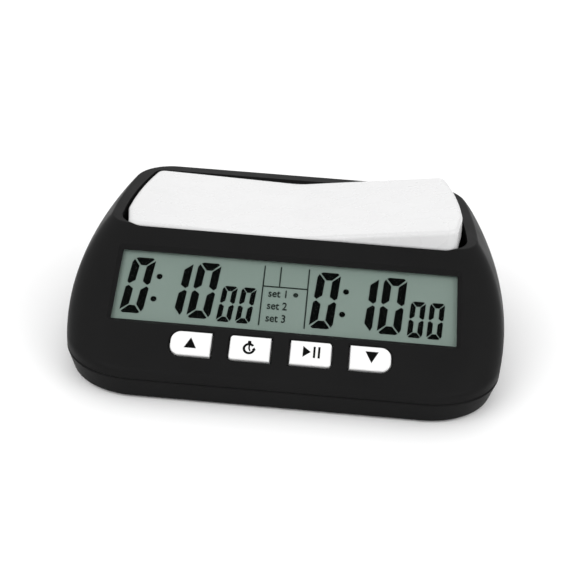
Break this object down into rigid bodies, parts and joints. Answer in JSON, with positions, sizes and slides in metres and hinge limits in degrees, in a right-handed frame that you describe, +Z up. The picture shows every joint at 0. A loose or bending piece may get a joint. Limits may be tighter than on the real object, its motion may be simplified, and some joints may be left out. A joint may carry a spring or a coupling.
{
  "type": "chess clock",
  "caption": "Two-player digital chess clock with a sloping display face, push keys and a seesaw rocker on top that switches the turn.",
  "frame": {"origin": "on the table, under the centre of the case", "axes": "+X to the right along the face, +Y backwards, +Z up"},
  "size_m": [0.16, 0.1166, 0.0505],
  "materials": {
    "case_black": "fine satin texture",
    "rocker_white": "smooth gloss",
    "key_white": "smooth satin gloss",
    "clear_window": "clear",
    "lcd_glass": "grey-green reflective display",
    "inner_plastic": "plain moulded",
    "silicone_grey": "soft matte",
    "steel": "plated",
    "black_rubber": "matte",
    "circuit_board": "solder mask",
    "switch_black": "plain moulded",
    "chip_resin": "resin",
    "capacitor_sleeve": "sleeve",
    "ribbon_grey": "smooth",
    "battery_sleeve": "printed sleeve",
    "lead_red": "smooth",
    "lead_black": "smooth",
    "brass": "plain",
    "ceramic": "fired"
  },
  "bodies": {
    "case": {"base_casing": "case_black", "battery": "battery_sleeve", "battery_contact_negative": "steel", "battery_contact_positive": "steel", "battery_lead_black": "lead_black", "battery_lead_red": "lead_red", "board_capacitors": "capacitor_sleeve", "board_connectors": "inner_plastic", "buzzer_ceramic": "ceramic", "buzzer_disc": "brass", "buzzer_leads": "lead_black", "case_screws": "steel", "controller_chip": "chip_resin", "display_window": "clear_window", "keypad_mat": "silicone_grey", "lcd_connector_strips": "silicone_grey", "lcd_holder": "inner_plastic", "lcd_panel": "lcd_glass", "left_switch_body": "switch_black", "main_board": "circuit_board", "main_board_screws": "steel", "power_switch_body": "switch_black", "power_switch_leads": "lead_red", "right_switch_body": "switch_black", "rocker_bumpers": "black_rubber", "rocker_pivot_pin": "steel", "rubber_feet": "black_rubber", "switch_board": "circuit_board", "switch_board_screws": "steel", "switch_ribbon": "ribbon_grey", "timing_crystal": "steel", "upper_casing": "case_black"},
    "rocker": {"rocker": "rocker_white"},
    "battery_cover": {"battery_door": "case_black"},
    "left_plunger": {"left_switch_plunger": "inner_plastic"},
    "right_plunger": {"right_switch_plunger": "inner_plastic"},
    "power_knob": {"power_switch_knob": "switch_black"},
    "key_up": {"button_up": "key_white", "contact_puck_up": "silicone_grey"},
    "key_timer": {"button_timer": "key_white", "contact_puck_timer": "silicone_grey"},
    "key_play_pause": {"button_play_pause": "key_white", "contact_puck_play_pause": "silicone_grey"},
    "key_down": {"button_down": "key_white", "contact_puck_down": "silicone_grey"}
  },
  "joints": [
    {"name": "rocker_tilt", "type": "hinge", "parent": "case", "child": "rocker", "pos_m": [0, 0, 0.037], "axis": [0, 1, 0], "range_deg": [0, 6.4]},
    {"name": "left_plunger_press", "type": "slide", "parent": "case", "child": "left_plunger", "axis": [0, 0, 1], "range_m": [0, 0.00135]},
    {"name": "right_plunger_press", "type": "slide", "parent": "case", "child": "right_plunger", "axis": [0, 0, 1], "range_m": [-0.00135, 0]},
    {"name": "battery_cover_slide", "type": "slide", "parent": "case", "child": "battery_cover", "axis": [0, 1, 0], "range_m": [0, 0.046]},
    {"name": "power_slide", "type": "slide", "parent": "case", "child": "power_knob", "axis": [1, 0, 0], "range_m": [0, 0.003]},
    {"name": "key_up_press", "type": "slide", "parent": "case", "child": "key_up", "axis": [0, 0.5307, -0.8476], "range_m": [0, 0.0009], "stiffness_N_per_m": 600, "springref_m": -0.0003},
    {"name": "key_timer_press", "type": "slide", "parent": "case", "child": "key_timer", "axis": [0, 0.5307, -0.8476], "range_m": [0, 0.0009], "stiffness_N_per_m": 600, "springref_m": -0.0003},
    {"name": "key_play_pause_press", "type": "slide", "parent": "case", "child": "key_play_pause", "axis": [0, 0.5307, -0.8476], "range_m": [0, 0.0009], "stiffness_N_per_m": 600, "springref_m": -0.0003},
    {"name": "key_down_press", "type": "slide", "parent": "case", "child": "key_down", "axis": [0, 0.5307, -0.8476], "range_m": [0, 0.0009], "stiffness_N_per_m": 600, "springref_m": -0.0003}
  ],
  "couplings": [
    {"joint": "left_plunger_press", "follows": "rocker_tilt", "m_per_rad": 0.012},
    {"joint": "right_plunger_press", "follows": "rocker_tilt", "m_per_rad": -0.012}
  ]
}
